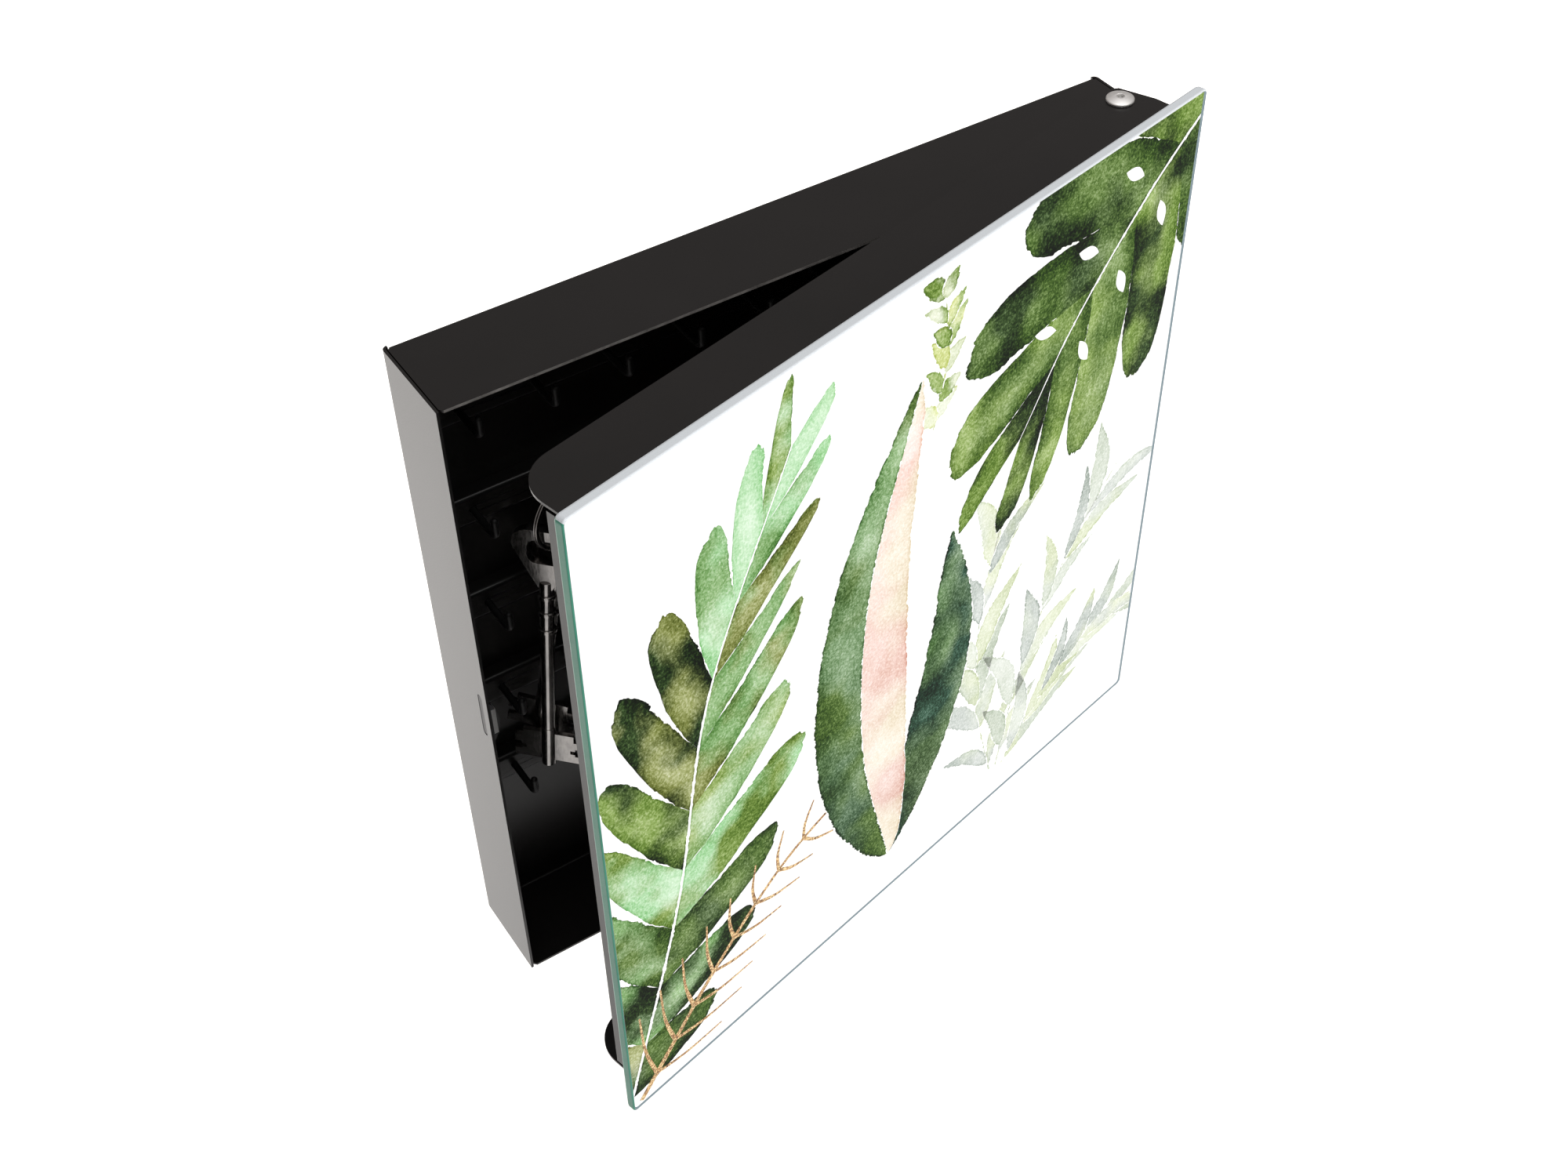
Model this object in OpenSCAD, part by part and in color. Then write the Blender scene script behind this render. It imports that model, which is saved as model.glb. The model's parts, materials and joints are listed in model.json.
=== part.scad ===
// Wall key cabinet: a folded steel box with rows of key hooks, closed by a glass-fronted
// steel door that turns on two rivets and is held shut by a magnet in the side wall.
// Origin: centre of the back face, on the wall. +X towards the hinges, -Y towards the
// front, +Z up. Millimetres. The door is modelled standing ajar.

/* [Box] */
// Width of the box across its side walls
box_w = 280; // [240:1:340]
// Height of the box
box_h = 280; // [276:1:340]
// Depth of the box from the wall to its front edge
box_d = 38; // [36:1:60]
// Thickness of the folded sheet steel
sheet_t = 1; // [0.8:0.1:1.5]
// Outside radius of the folds along the back edges
fold_r = 2; // [1.6:0.1:3]
// Open clearance where the top and bottom panels meet the side walls
seam_gap = 0.4; // [0.2:0.1:0.8]
// Diameter of the four wall screw holes
wall_hole_d = 5.5; // [4:0.1:7]
// Distance between the wall screw holes, across
wall_hole_pitch_x = 150; // [100:1:170]
// Distance between the wall screw holes, up and down
wall_hole_pitch_z = 250; // [248:1:254]

/* [Door] */
// Width and height of the square glass panel
glass_w = 300; // [290:1:360]
// Thickness of the tempered glass
glass_t = 4; // [3:0.5:6]
// Corner radius of the glass
glass_corner_r = 2; // [1:0.5:6]
// Ground arris along the front edges of the glass
glass_arris_front = 0.5; // [0.2:0.1:1]
// Ground arris along the back edges of the glass
glass_arris_back = 1; // [0.2:0.1:1.4]
// Thickness of the printed ink layer on the front of the glass
print_t = 0.2; // [0.1:0.05:0.4]
// Thickness of the foam tape that holds the glass on the door pan
tape_t = 0.3; // [0.2:0.1:1]
// Width of the steel door pan
pan_w = 286.4; // [285:0.1:292]
// Clearance between the box and the two hinge ears of the pan
ear_gap = 1; // [0.6:0.1:1.6]
// Radius of the rounded free corner of the ears
ear_corner_r = 15; // [6:1:22]
// Depth of the side flanges of the pan
flange_d = 11.6; // [6:0.1:14]
// Angle at which the door stands open
door_angle = 13.4; // [0:0.1:80]

/* [Pivots] */
// Distance of the pivot axis from the wall
pivot_depth = 20.5; // [18:0.1:22]
// Distance of the pivot axis from the middle of the box
pivot_x = 134.2; // [132:0.1:135]
// Diameter of the rivet shanks
rivet_d = 4.8; // [4:0.1:6]
// Diameter of the domed rivet heads
rivet_head_d = 10; // [8:0.1:11]

/* [Hooks] */
// Number of hooks in each row
hooks_per_row = 10; // [4:1:10]
// Distance between neighbouring hooks
hook_pitch = 27; // [20:1:27]
// Distance between hook rows
row_pitch = 43; // [40:1:44]
// Height of the top row of hooks above the middle of the box
top_row_z = 112; // [108:1:114]
// Diameter of the hook wire
hook_d = 2.6; // [2:0.1:3]
// Reach of the hooks from the wall
hook_reach = 24; // [20:1:28]
// Height of the upturned hook tips
hook_rise = 7.5; // [6:0.5:10]

/* [Catch] */
// Height of the magnet slot in the side wall
slot_h = 20; // [14:1:26]
// Width of the magnet slot
slot_w = 3; // [2:0.1:4]
// Distance of the slot's middle from the wall
slot_depth = 32.7; // [30:0.1:34]
// Height of the slot's middle above the middle of the box
slot_z = 2.6; // [-60:0.1:60]

/* [Keys] */
// Length of the long key below the ring
long_key_len = 105; // [100:1:106]
// Length of the short key below the ring
short_key_len = 92; // [91:1:93]
// Width across both bits of a key
key_bit_w = 25; // [20:1:26]
// Mean radius of the key ring
ring_r = 12; // [12:0.5:12.5]
// Diameter of the ring wire
ring_wire_d = 2; // [1.4:0.1:2]

/* [Hidden] */
$fn = 48;
eps = 0.01;
cut = 20;

// Box
half_w = box_w / 2;
half_h = box_h / 2;
seam_start = fold_r + seam_gap;
corner_cut = 1.6;

// Running clearances of the pivots
bore_play = 0.06;
face_play = 0.1;

// Door, described closed
door_play = 2;
pan_front = -(box_d + door_play + sheet_t);
pan_back = pan_front + sheet_t;
pan_half_h = half_h + ear_gap + sheet_t;
pan_shift = 0.4;
pan_left = pan_shift - pan_w / 2;
pan_right = pan_shift + pan_w / 2;
ear_back = -13;
ear_slant = [6.1, 3.1, 2.2, 16];
pan_bend_r = 1.5;
flange_slit = 1.4;
glass_back = pan_front - tape_t;
glass_front = glass_back - glass_t;
print_side = glass_w - 2.9;
print_corner_r = glass_corner_r - 0.5;
print_shift = [-0.9, 0.95];
tape_w = 20;
tape_len = 250;
tape_rows = [-110, -37, 37, 110];

// Rubber bumpers inside the door
bumper_d = 8;
bumper_h = door_play - 0.2;
bumper_x = 2.6 - half_w;
bumper_z = 122;

// Pivots: each stack is described above the middle and mirrored below it
washer_d = 11;
washer_t = ear_gap - face_play;
backing_d = 9;
backing_t = 1;
head_rim = 0.8;
head_dome = 1;
head_z = pan_half_h + face_play;
tail_d = 7.2;
tail_h = 2.6;
tail_z = half_h - sheet_t - backing_t;
mandrel_d = 2.2;
mandrel_sink = 0.7;
mandrel_knob_d = 3.6;
mandrel_knob_h = 1.5;

// Hook rails
rail_h = 12;
rail_d = 6;
rail_t = 1;
rail_fold_r = 1.6;
rail_len = 266;
rail_web_y = -(sheet_t + rail_d);
hook_bend_r = 3.5;
hook_head_d = 4;
hook_head_t = 1;
hook_head_gap = 0.05;

// Magnet catch
holder_bulge = 2.9;
holder_chord = 19;
holder_len = 7;
holder_front = 0.3 - box_d;
tongue_play = 0.2;
tongue_reach = sheet_t - 0.1;
magnet_size = [1.6, 3, 12];
magnet_x = 0.4;

// Keys: the ring hangs on a hook in the second row
ring_wire_r = ring_wire_d / 2;
ring_turn = 20;
hang_gap = 0.3;
ring_hook = 1;
ring_x = -(hooks_per_row - 1) / 2 * hook_pitch + ring_hook * hook_pitch;
ring_y = -16;
hang_z = top_row_z - row_pitch + hook_d / 2;
ring_z = hang_z + hang_gap + ring_wire_r - ring_r;
key_turn = -44;
key_t = 3;
barrel_d = 5;
bit_t = 2;
bit_h = 13;
bit_foot = 2;
tip_len = 18;
neck_len = 21;
collar_d = 6.2;
collar_h = 1.4;
collar_z = [-24.5, -32, -40];

steel_black = [0.17, 0.16, 0.155];
zinc = [0.80, 0.80, 0.78];
nickel = [0.72, 0.72, 0.70];
rubber_grey = [0.25, 0.25, 0.25];
glass_green = [0.55, 0.80, 0.72];
print_white = [0.95, 0.95, 0.93];

// ---------------------------------------------------------------- shared shapes

// Rectangle of width w reaching forward by d, with its two back corners rounded
module back_rounded_rect(w, d, r) {
    translate([-w / 2, -d]) square([w, d - r]);
    translate([r - w / 2, -d]) square([w - 2 * r, d]);
    for (side = [-1, 1])
        translate([side * (w / 2 - r), -r]) circle(r);
}

// Folded sheet seen along the fold: a web with one leg at each end
module folded_sheet(w, d, t, r) {
    difference() {
        back_rounded_rect(w, d, r);
        translate([0, -t]) back_rounded_rect(w - 2 * t, d + cut, r - t);
    }
}

// Turns a profile drawn in X and Y to stand in Z and Y, swept along X
module sweep_x(length) {
    rotate([0, -90, 0]) linear_extrude(length, center = true) children();
}

// Flat shape drawn in X and Z, from y0 forward to y0 - t
module slab_y(y0, t) {
    translate([0, y0, 0]) rotate([90, 0, 0]) linear_extrude(t) children();
}

// Rectangle centred on the origin with round corners
module rounded_square(w, h, r) {
    square([w - 2 * r, h], center = true);
    square([w, h - 2 * r], center = true);
    for (sx = [-1, 1], sz = [-1, 1])
        translate([sx * (w / 2 - r), sz * (h / 2 - r)]) circle(r);
}

// Places a stack at the pivot axis, upright or mirrored below the box
module at_pivot(side) {
    translate([pivot_x, -pivot_depth, 0]) mirror([0, 0, side < 0 ? 1 : 0]) children();
}

// Turns the closed door to the angle at which it stands
module door_pose() {
    translate([pivot_x, -pivot_depth, 0]) rotate([0, 0, door_angle])
        translate([-pivot_x, pivot_depth, 0]) children();
}

// ---------------------------------------------------------------- box

module wall_holes() {
    for (sx = [-1, 1], sz = [-1, 1])
        translate([sx * wall_hole_pitch_x / 2, cut / 2, sz * wall_hole_pitch_z / 2])
            rotate([90, 0, 0]) cylinder(d = wall_hole_d, h = cut);
}

module magnet_slot() {
    translate([-half_w - cut / 2, -slot_depth, slot_z]) rotate([0, 90, 0])
        linear_extrude(cut) rounded_square(slot_h, slot_w, slot_w / 2 - eps);
}

// Back panel with the folds of the side walls, which alone reach the corners
module side_walls() {
    difference() {
        linear_extrude(box_h, center = true) folded_sheet(box_w, box_d, sheet_t, fold_r);
        for (side = [-1, 1])
            translate([0, 0, side * half_h])
                cube([box_w - 2 * fold_r, 3 * box_d, 2 * fold_r], center = true);
    }
}

// Top and bottom panels with their folds, between the side walls
module top_and_bottom() {
    inner_half = half_w - sheet_t - seam_gap;
    difference() {
        sweep_x(2 * inner_half) folded_sheet(box_h, box_d, sheet_t, fold_r);
        for (sx = [-1, 1], sz = [-1, 1]) {
            // The fold stops short of the side walls' folds
            translate([sx * half_w, 0, sz * half_h])
                cube([2 * seam_start, 2 * fold_r, 3 * fold_r], center = true);
            // Snipped front corners
            translate([sx * inner_half, -box_d, sz * half_h]) rotate([0, 0, 45])
                cube([corner_cut, corner_cut, 3 * fold_r], center = true);
        }
    }
}

module box_shell() {
    color(steel_black) difference() {
        union() {
            side_walls();
            top_and_bottom();
        }
        wall_holes();
        magnet_slot();
        for (side = [-1, 1])
            at_pivot(side) translate([0, 0, half_h - cut / 2])
                cylinder(d = rivet_d + 2 * bore_play, h = cut);
    }
}

// ---------------------------------------------------------------- hook rails

// Height of a row of hooks, counted from 1 at the top
function row_z(row) = top_row_z - (row - 1) * row_pitch;

// Distance of each hook from the middle of the row
function hook_x(i) = (i - (hooks_per_row - 1) / 2) * hook_pitch;

// Channel with its legs on the back panel and a hole for each hook
module hook_rail(row) {
    color(steel_black) translate([0, 0, row_z(row)]) difference() {
        translate([0, -sheet_t, 0]) mirror([0, 1, 0]) translate([0, rail_d, 0])
            sweep_x(rail_len) folded_sheet(rail_h, rail_d, rail_t, rail_fold_r);
        for (i = [0 : hooks_per_row - 1])
            translate([hook_x(i), 0, 0]) rotate([90, 0, 0])
                cylinder(d = hook_d + 2 * bore_play, h = cut);
    }
}

// Wire hook staked into the rail, bent up at its front
module hook() {
    wire_r = hook_d / 2;
    bend_y = hook_bend_r - hook_reach;
    back_y = rail_web_y + rail_t + hook_head_gap;
    rotate([90, 0, 0]) translate([0, 0, -back_y]) cylinder(r = wire_r, h = back_y - bend_y);
    translate([0, back_y + hook_head_t, 0]) rotate([90, 0, 0])
        cylinder(d = hook_head_d, h = hook_head_t);
    translate([0, bend_y, hook_bend_r]) rotate([0, -90, 0]) rotate([0, 0, 180])
        rotate_extrude(angle = 90) translate([hook_bend_r, 0]) circle(wire_r);
    translate([0, -hook_reach, hook_bend_r]) cylinder(r = wire_r, h = hook_rise - hook_bend_r);
    translate([0, -hook_reach, hook_rise]) sphere(wire_r);
}

module hooks_row(row) {
    color(zinc) for (i = [0 : hooks_per_row - 1])
        translate([hook_x(i), 0, row_z(row)]) hook();
}

// ---------------------------------------------------------------- magnet catch

// Places a shape on the inside of the side wall, behind the catch's front face
module at_catch() {
    translate([sheet_t - half_w, holder_front, slot_z]) children();
}

module catch_magnet_shape() {
    at_catch() translate([magnet_x, 0, -magnet_size[2] / 2]) cube(magnet_size);
}

// Half-round holder with a tongue that snaps into the slot in the side wall
module catch_holder() {
    half_chord = holder_chord / 2;
    disc_r = (half_chord * half_chord + holder_bulge * holder_bulge) / (2 * holder_bulge);
    color(rubber_grey) difference() {
        union() {
            intersection() {
                at_catch() translate([holder_bulge - disc_r, 0, 0]) rotate([-90, 0, 0])
                    cylinder(r = disc_r, h = holder_len, $fn = 96);
                at_catch() translate([0, -eps, -slot_h]) cube([cut, holder_len + 2 * eps, 2 * slot_h]);
            }
            translate([sheet_t - half_w - tongue_reach, tongue_play - slot_depth - slot_w / 2,
                       slot_z + 3 * tongue_play - slot_h / 2])
                cube([tongue_reach + eps, slot_w - 2 * tongue_play, slot_h - 6 * tongue_play]);
        }
        catch_magnet_shape();
    }
}

module catch_magnet() {
    color(nickel) catch_magnet_shape();
}

// ---------------------------------------------------------------- pivots

// Nylon washer between the box and the door ear
module spacer_washer(side) {
    color(rubber_grey) at_pivot(side) translate([0, 0, half_h]) difference() {
        cylinder(d = washer_d, h = washer_t);
        translate([0, 0, -cut / 2]) cylinder(d = rivet_d + 2 * bore_play, h = cut);
    }
}

// Steel washer under the rivet's formed tail, inside the box
module backing_washer(side) {
    color(zinc) at_pivot(side) translate([0, 0, tail_z]) difference() {
        cylinder(d = backing_d, h = backing_t);
        translate([0, 0, -cut / 2]) cylinder(d = rivet_d + 2 * bore_play, h = cut);
    }
}

// Domed blind rivet with its mandrel hole
module pivot_rivet(side) {
    head_r = rivet_head_d / 2;
    dome_r = (head_r * head_r + head_dome * head_dome) / (2 * head_dome);
    color(zinc) at_pivot(side) difference() {
        union() {
            intersection() {
                translate([0, 0, head_z]) cylinder(r = head_r, h = head_rim + head_dome);
                translate([0, 0, head_z + head_rim + head_dome - dome_r]) sphere(dome_r, $fn = 96);
            }
            translate([0, 0, tail_z - tail_h]) cylinder(d = rivet_d, h = head_z - tail_z + tail_h + eps);
            translate([0, 0, tail_z - tail_h]) cylinder(d = tail_d, h = tail_h);
        }
        translate([0, 0, tail_z - cut]) cylinder(d = mandrel_d, h = 3 * cut);
    }
}

// Broken mandrels left inside the rivets
module rivet_mandrels() {
    for (side = [-1, 1])
        color(steel_black) at_pivot(side) {
            translate([0, 0, tail_z - tail_h])
                cylinder(d = mandrel_d - 0.1,
                         h = head_z + head_rim + head_dome - mandrel_sink - tail_z + tail_h);
            translate([0, 0, tail_z - tail_h - mandrel_knob_h])
                cylinder(d = mandrel_knob_d, h = mandrel_knob_h);
        }
}

// ---------------------------------------------------------------- door

// Plan view of the door pan: a straight front and a slanting edge beside the pivot
module pan_outline() {
    polygon([
        [pan_left, pan_front],
        [pan_left, ear_back],
        [pan_right - ear_slant[0], ear_back],
        [pan_right - ear_slant[1], ear_back - ear_slant[2]],
        [pan_right, ear_back - ear_slant[3]],
        [pan_right, pan_front]
    ]);
}

// What the round free corner takes off the ears
module ear_corner_cut() {
    height = 2 * pan_half_h + cut;
    difference() {
        translate([pan_left - cut, ear_back - ear_corner_r, -height / 2])
            cube([ear_corner_r + cut, ear_corner_r + cut, height]);
        translate([pan_left + ear_corner_r, ear_back - ear_corner_r, -height])
            cylinder(r = ear_corner_r, h = 2 * height, $fn = 96);
    }
}

// Outer block of the pan with its four front edges rounded
module pan_block() {
    difference() {
        intersection() {
            linear_extrude(2 * pan_half_h, center = true) pan_outline();
            translate([0, pan_front, 0]) mirror([0, 1, 0])
                sweep_x(2 * pan_w) back_rounded_rect(2 * pan_half_h, box_d + cut, pan_bend_r);
            translate([pan_shift, pan_front, 0]) mirror([0, 1, 0])
                linear_extrude(2 * pan_half_h + cut, center = true)
                    back_rounded_rect(pan_w, box_d + cut, pan_bend_r);
        }
        ear_corner_cut();
    }
}

module closed_door_pan() {
    inner_w = pan_w - 2 * sheet_t;
    inner_half_h = pan_half_h - sheet_t;
    difference() {
        pan_block();
        // Inside of the pan
        translate([pan_shift - inner_w / 2, pan_back, -inner_half_h])
            cube([inner_w, box_d + cut, 2 * inner_half_h]);
        // Side flanges stop behind their depth and short of the ears
        translate([-pan_w, pan_front + flange_d, -inner_half_h])
            cube([2 * pan_w, box_d + cut, 2 * inner_half_h]);
        for (side = [-1, 1])
            translate([-pan_w, pan_back, side * (inner_half_h - flange_slit / 2) - flange_slit / 2])
                cube([2 * pan_w, box_d + cut, flange_slit]);
        // Pivot bores through both ears
        for (side = [-1, 1])
            at_pivot(side) translate([0, 0, pan_half_h - cut / 2])
                cylinder(d = rivet_d + 2 * bore_play, h = cut);
    }
}

module door_pan() {
    color(steel_black) door_pose() closed_door_pan();
}

module mounting_tape() {
    color(rubber_grey) door_pose() for (z = tape_rows)
        translate([-tape_len / 2, glass_back, z - tape_w / 2]) cube([tape_len, tape_t, tape_w]);
}

// Ink, printed a little up and to the left, so that the right and bottom edges stay bare
module print_layer() {
    color(print_white) door_pose() translate([print_shift[0], 0, print_shift[1]])
        slab_y(glass_front, print_t) rounded_square(print_side, print_side, print_corner_r);
}

// Glass plate with ground edges
module glass_panel() {
    back_side = glass_w - 2 * glass_arris_back;
    front_side = glass_w - 2 * glass_arris_front;
    full_t = glass_t - glass_arris_back - glass_arris_front;
    color(glass_green) door_pose() hull() {
        slab_y(glass_back, glass_t - glass_arris_front)
            rounded_square(back_side, back_side, glass_corner_r, $fn = 32);
        slab_y(glass_back - glass_arris_back, full_t)
            rounded_square(glass_w, glass_w, glass_corner_r, $fn = 32);
        slab_y(glass_back - glass_arris_back, glass_t - glass_arris_back)
            rounded_square(front_side, front_side, glass_corner_r, $fn = 32);
    }
}

// Rubber dots that meet the box's front edge
module bumper(side) {
    color(rubber_grey) door_pose() translate([bumper_x, pan_back, side * bumper_z])
        rotate([-90, 0, 0]) cylinder(d = bumper_d, h = bumper_h);
}

// ---------------------------------------------------------------- keys

// A point on the ring, turned by angle from its lowest point towards the free side
function ring_point(angle) = [
    ring_x - ring_r * sin(angle) * cos(ring_turn),
    ring_y - ring_r * sin(angle) * sin(ring_turn),
    ring_z - ring_r * cos(angle)
];

module key_ring() {
    color(nickel) translate([ring_x, ring_y, ring_z]) rotate([0, 0, ring_turn])
        rotate([90, 0, 0]) rotate_extrude($fn = 96) translate([ring_r, 0]) circle(ring_wire_r);
}

// Bow with a wide eye; its origin is the inside of the eye's top
module key_bow() {
    rotate([90, 0, 0]) linear_extrude(key_t, center = true) difference() {
        hull() {
            for (side = [-1, 1]) translate([side * 6, -2]) circle(6, $fn = 32);
            translate([0, 2 - neck_len]) circle(3, $fn = 32);
        }
        translate([0, -5]) rounded_square(13, 10, 3.5);
    }
}

// One bit blade with two stepped notches, from the barrel outwards along +X
module key_bit(bottom) {
    reach = key_bit_w / 2;
    rotate([90, 0, 0]) linear_extrude(bit_t, center = true) difference() {
        translate([0, bottom]) square([reach, bit_h]);
        translate([reach - 3, bottom + bit_h - 3]) square([4, 4]);
        translate([reach - 2.4, bottom + 3.2]) square([4, 3.6]);
        translate([reach - 4.2, bottom + 4.2]) square([4, 1.6]);
    }
}

// Double-bit key hanging down from its eye
module bit_key(length) {
    key_bow();
    translate([0, 0, -length + tip_len]) cylinder(d = barrel_d, h = length - tip_len - neck_len + 3);
    translate([0, 0, -length]) cylinder(d = barrel_d + 0.4, h = tip_len);
    for (z = collar_z)
        translate([0, 0, z]) cylinder(d = collar_d, h = collar_h, center = true);
    key_bit(bit_foot - length);
    mirror([1, 0, 0]) key_bit(bit_foot - length);
}

// Hangs a key on the ring: lift clears the wire, lean tips it to the side and back
module hung_key(length, angle, lift, side_lean, back_lean) {
    color(nickel) translate(ring_point(angle) + [0, 0, ring_wire_r + lift])
        rotate([back_lean, side_lean, 0]) rotate([0, 0, key_turn]) bit_key(length);
}

module long_key() {
    hung_key(long_key_len, 42, 2.8, 6.1, -1.2);
}

module short_key() {
    hung_key(short_key_len, 9, 0.9, 9.5, 2.6);
}

box_shell();
hook_rail(1);  // hook_rail_1
hook_rail(2);  // hook_rail_2
hook_rail(3);  // hook_rail_3
hook_rail(4);  // hook_rail_4
hook_rail(5);  // hook_rail_5
hooks_row(1);  // hooks_row_1
hooks_row(2);  // hooks_row_2
hooks_row(3);  // hooks_row_3
hooks_row(4);  // hooks_row_4
hooks_row(5);  // hooks_row_5
catch_holder();
catch_magnet();
spacer_washer(1);  // spacer_washer_top
spacer_washer(-1);  // spacer_washer_bottom
backing_washer(1);  // backing_washer_top
backing_washer(-1);  // backing_washer_bottom
pivot_rivet(1);  // pivot_rivet_top
pivot_rivet(-1);  // pivot_rivet_bottom
rivet_mandrels();
door_pan();
mounting_tape();
print_layer();
glass_panel();
bumper(1);  // bumper_top
bumper(-1);  // bumper_bottom
key_ring();
long_key();
short_key();
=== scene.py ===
# Wall key cabinet: looks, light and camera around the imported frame. Metres throughout.
import json
import math
import random

import bmesh
import bpy
import numpy as np
from mathutils import Matrix, Vector


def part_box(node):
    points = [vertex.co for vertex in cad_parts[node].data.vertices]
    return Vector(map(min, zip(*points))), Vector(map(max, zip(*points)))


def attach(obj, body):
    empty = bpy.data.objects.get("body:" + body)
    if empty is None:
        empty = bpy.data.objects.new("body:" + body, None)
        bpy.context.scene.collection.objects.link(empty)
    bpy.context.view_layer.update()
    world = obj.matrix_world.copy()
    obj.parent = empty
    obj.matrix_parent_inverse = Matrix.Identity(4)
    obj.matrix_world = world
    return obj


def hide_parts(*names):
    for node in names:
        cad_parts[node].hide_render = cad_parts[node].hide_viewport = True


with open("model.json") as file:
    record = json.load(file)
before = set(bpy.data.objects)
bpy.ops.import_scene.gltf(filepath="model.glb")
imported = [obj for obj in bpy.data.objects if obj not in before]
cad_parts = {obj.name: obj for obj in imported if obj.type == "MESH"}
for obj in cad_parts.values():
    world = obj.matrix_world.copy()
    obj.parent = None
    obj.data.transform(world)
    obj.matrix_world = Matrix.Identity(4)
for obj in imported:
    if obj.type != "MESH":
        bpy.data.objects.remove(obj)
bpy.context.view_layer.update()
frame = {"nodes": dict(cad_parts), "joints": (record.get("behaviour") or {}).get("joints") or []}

MM = 0.001
NODES = frame["nodes"]
JOINTS = {joint["name"]: joint for joint in frame["joints"]}


# ------------------------------------------------------------------ the closed door

DOOR_JOINT = JOINTS["door_hinge"]
DOOR_ANGLE = -math.radians(DOOR_JOINT["range_deg"][0])
PIVOT = Vector(DOOR_JOINT["pos_m"])
DOOR_TURN = Matrix.Translation(PIVOT) @ Matrix.Rotation(DOOR_ANGLE, 4, "Z") @ Matrix.Translation(-PIVOT)


def closed_box(node):
    """Lowest and highest corner of a door node, with the door shut."""
    back = DOOR_TURN.inverted()
    points = [back @ v.co for v in NODES[node].data.vertices]
    low = Vector(min(p[i] for p in points) for i in range(3))
    high = Vector(max(p[i] for p in points) for i in range(3))
    return low, high


# ------------------------------------------------------------------ object helpers

def add_object(name, data):
    """Links a new mesh, light or camera object to the scene."""
    item = bpy.data.objects.new(name, data)
    bpy.context.scene.collection.objects.link(item)
    return item


def closed_mesh(name, points, faces):
    """Mesh of a closed form, with all its faces turned outwards."""
    mesh = bpy.data.meshes.new(name)
    mesh.from_pydata(points, [], faces)
    shell = bmesh.new()
    shell.from_mesh(mesh)
    bmesh.ops.recalc_face_normals(shell, faces=shell.faces)
    shell.to_mesh(mesh)
    shell.free()
    return mesh


# ------------------------------------------------------------------ material helpers

class Nodes:
    """Short calls for building one node material."""

    def __init__(self, name):
        self.material = bpy.data.materials.new(name)
        self.material.use_nodes = True
        self.tree = self.material.node_tree
        self.shader = self.tree.nodes["Principled BSDF"]

    def add(self, kind, **inputs):
        node = self.tree.nodes.new(kind)
        for key, value in inputs.items():
            self.set(node, key.replace("_", " "), value)
        return node

    def feed(self, socket, value):
        """Links a socket to another node's output, or gives it a plain value."""
        if isinstance(value, bpy.types.NodeSocket):
            self.tree.links.new(value, socket)
        else:
            socket.default_value = value

    def set(self, node, key, value):
        self.feed(node.inputs[key], value)

    def shade(self, **inputs):
        for key, value in inputs.items():
            self.set(self.shader, key.replace("_", " "), value)

    def position(self, scale=(1, 1, 1)):
        coordinates = self.tree.nodes.new("ShaderNodeTexCoord")
        mapping = self.tree.nodes.new("ShaderNodeMapping")
        mapping.inputs["Scale"].default_value = scale
        self.tree.links.new(coordinates.outputs["Object"], mapping.inputs["Vector"])
        return mapping.outputs["Vector"]

    def noise(self, scale, detail=3.0, roughness=0.5, vector=None):
        node = self.add("ShaderNodeTexNoise", Scale=scale, Detail=detail, Roughness=roughness)
        self.set(node, "Vector", vector or self.position())
        return node.outputs["Fac"]

    def ramp(self, value, low, high, start=0.0, end=1.0):
        """Maps value from low..high to start..end, clamped."""
        node = self.add("ShaderNodeMapRange", Value=value)
        node.inputs["From Min"].default_value = low
        node.inputs["From Max"].default_value = high
        node.inputs["To Min"].default_value = start
        node.inputs["To Max"].default_value = end
        return node.outputs["Result"]

    def math(self, operation, a, b=0.0):
        node = self.tree.nodes.new("ShaderNodeMath")
        node.operation = operation
        for socket, value in zip(node.inputs, (a, b)):
            self.feed(socket, value)
        return node.outputs[0]

    def mix(self, factor, a, b, blend="MIX"):
        node = self.tree.nodes.new("ShaderNodeMix")
        node.data_type = "RGBA"
        node.blend_type = blend
        node.clamp_result = True
        for socket, value in zip((node.inputs[0], node.inputs[6], node.inputs[7]), (factor, a, b)):
            self.feed(socket, value)
        return node.outputs[2]

    def bump(self, height, strength, distance):
        node = self.add("ShaderNodeBump", Height=height, Strength=strength, Distance=distance)
        return node.outputs["Normal"]


def rgba(r, g, b):
    return (r, g, b, 1.0)


# ------------------------------------------------------------------ materials

def powder_coat():
    """Matte black powder coat: fine orange peel, faint mottling."""
    n = Nodes("powder_coat")
    grain = n.noise(2600, 4.0, 0.6)
    cloud = n.noise(26, 3.0)
    base = n.mix(n.ramp(cloud, 0.3, 0.7), rgba(0.0045, 0.004, 0.0036), rgba(0.007, 0.006, 0.0056))
    n.shade(Base_Color=n.mix(n.ramp(grain, 0.5, 0.8, 0.0, 0.5), base, rgba(0.012, 0.0105, 0.010)))
    n.shade(Roughness=n.ramp(grain, 0.3, 0.7, 0.30, 0.38))
    n.shade(Normal=n.bump(grain, 0.25, 0.00002))
    return n.material


def powder_edge():
    """Painted highlight for sheet edges: paler, mottled paint that stands in for the light a rim catches.
    """
    n = Nodes("powder_edge")
    highlight_mottle = n.noise(180, 4.0, 0.6)
    n.shade(Base_Color=n.mix(n.ramp(highlight_mottle, 0.35, 0.65), rgba(0.10, 0.095, 0.09), rgba(0.20, 0.19, 0.18)))
    n.shade(Roughness=n.ramp(highlight_mottle, 0.3, 0.7, 0.25, 0.4))
    return n.material


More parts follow.
